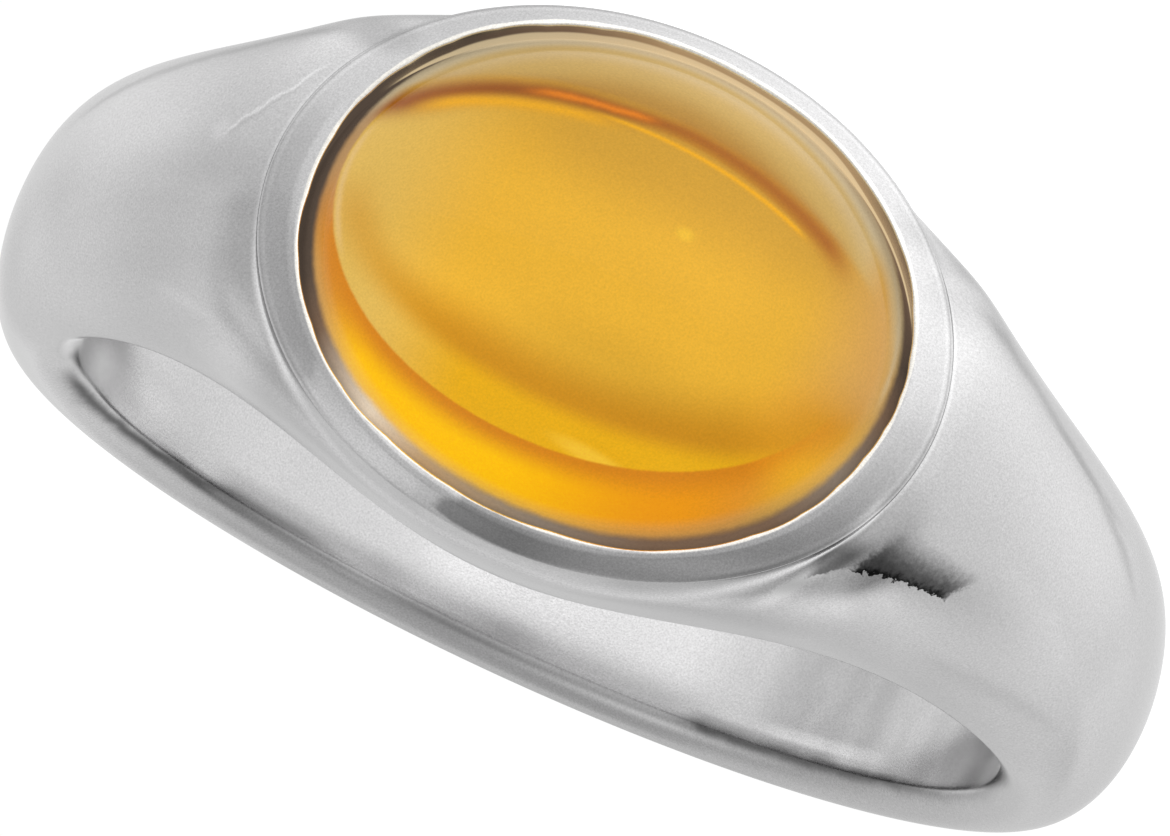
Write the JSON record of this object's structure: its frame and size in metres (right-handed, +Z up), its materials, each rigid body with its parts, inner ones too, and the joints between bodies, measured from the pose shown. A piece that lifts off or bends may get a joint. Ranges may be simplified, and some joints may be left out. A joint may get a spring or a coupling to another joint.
{
  "type": "cabochon ring",
  "caption": "Heavy white-metal ring with an oval golden-orange cabochon in a sloped bezel, swelling shoulders and a tapering band.",
  "frame": {"origin": "on the floor, under the middle of the ring's bounding box, with the ring lying on its side", "axes": "+Z up from the floor, the stone faces -Y, and X runs across the ring along the stone's length"},
  "size_m": [0.0242, 0.028, 0.0109],
  "materials": {
    "metal": "polished silver, softly reflecting",
    "stone": "polished translucent golden-orange stone"
  },
  "bodies": {
    "root": {"mounting": "metal", "cabochon": "stone"}
  },
  "joints": []
}
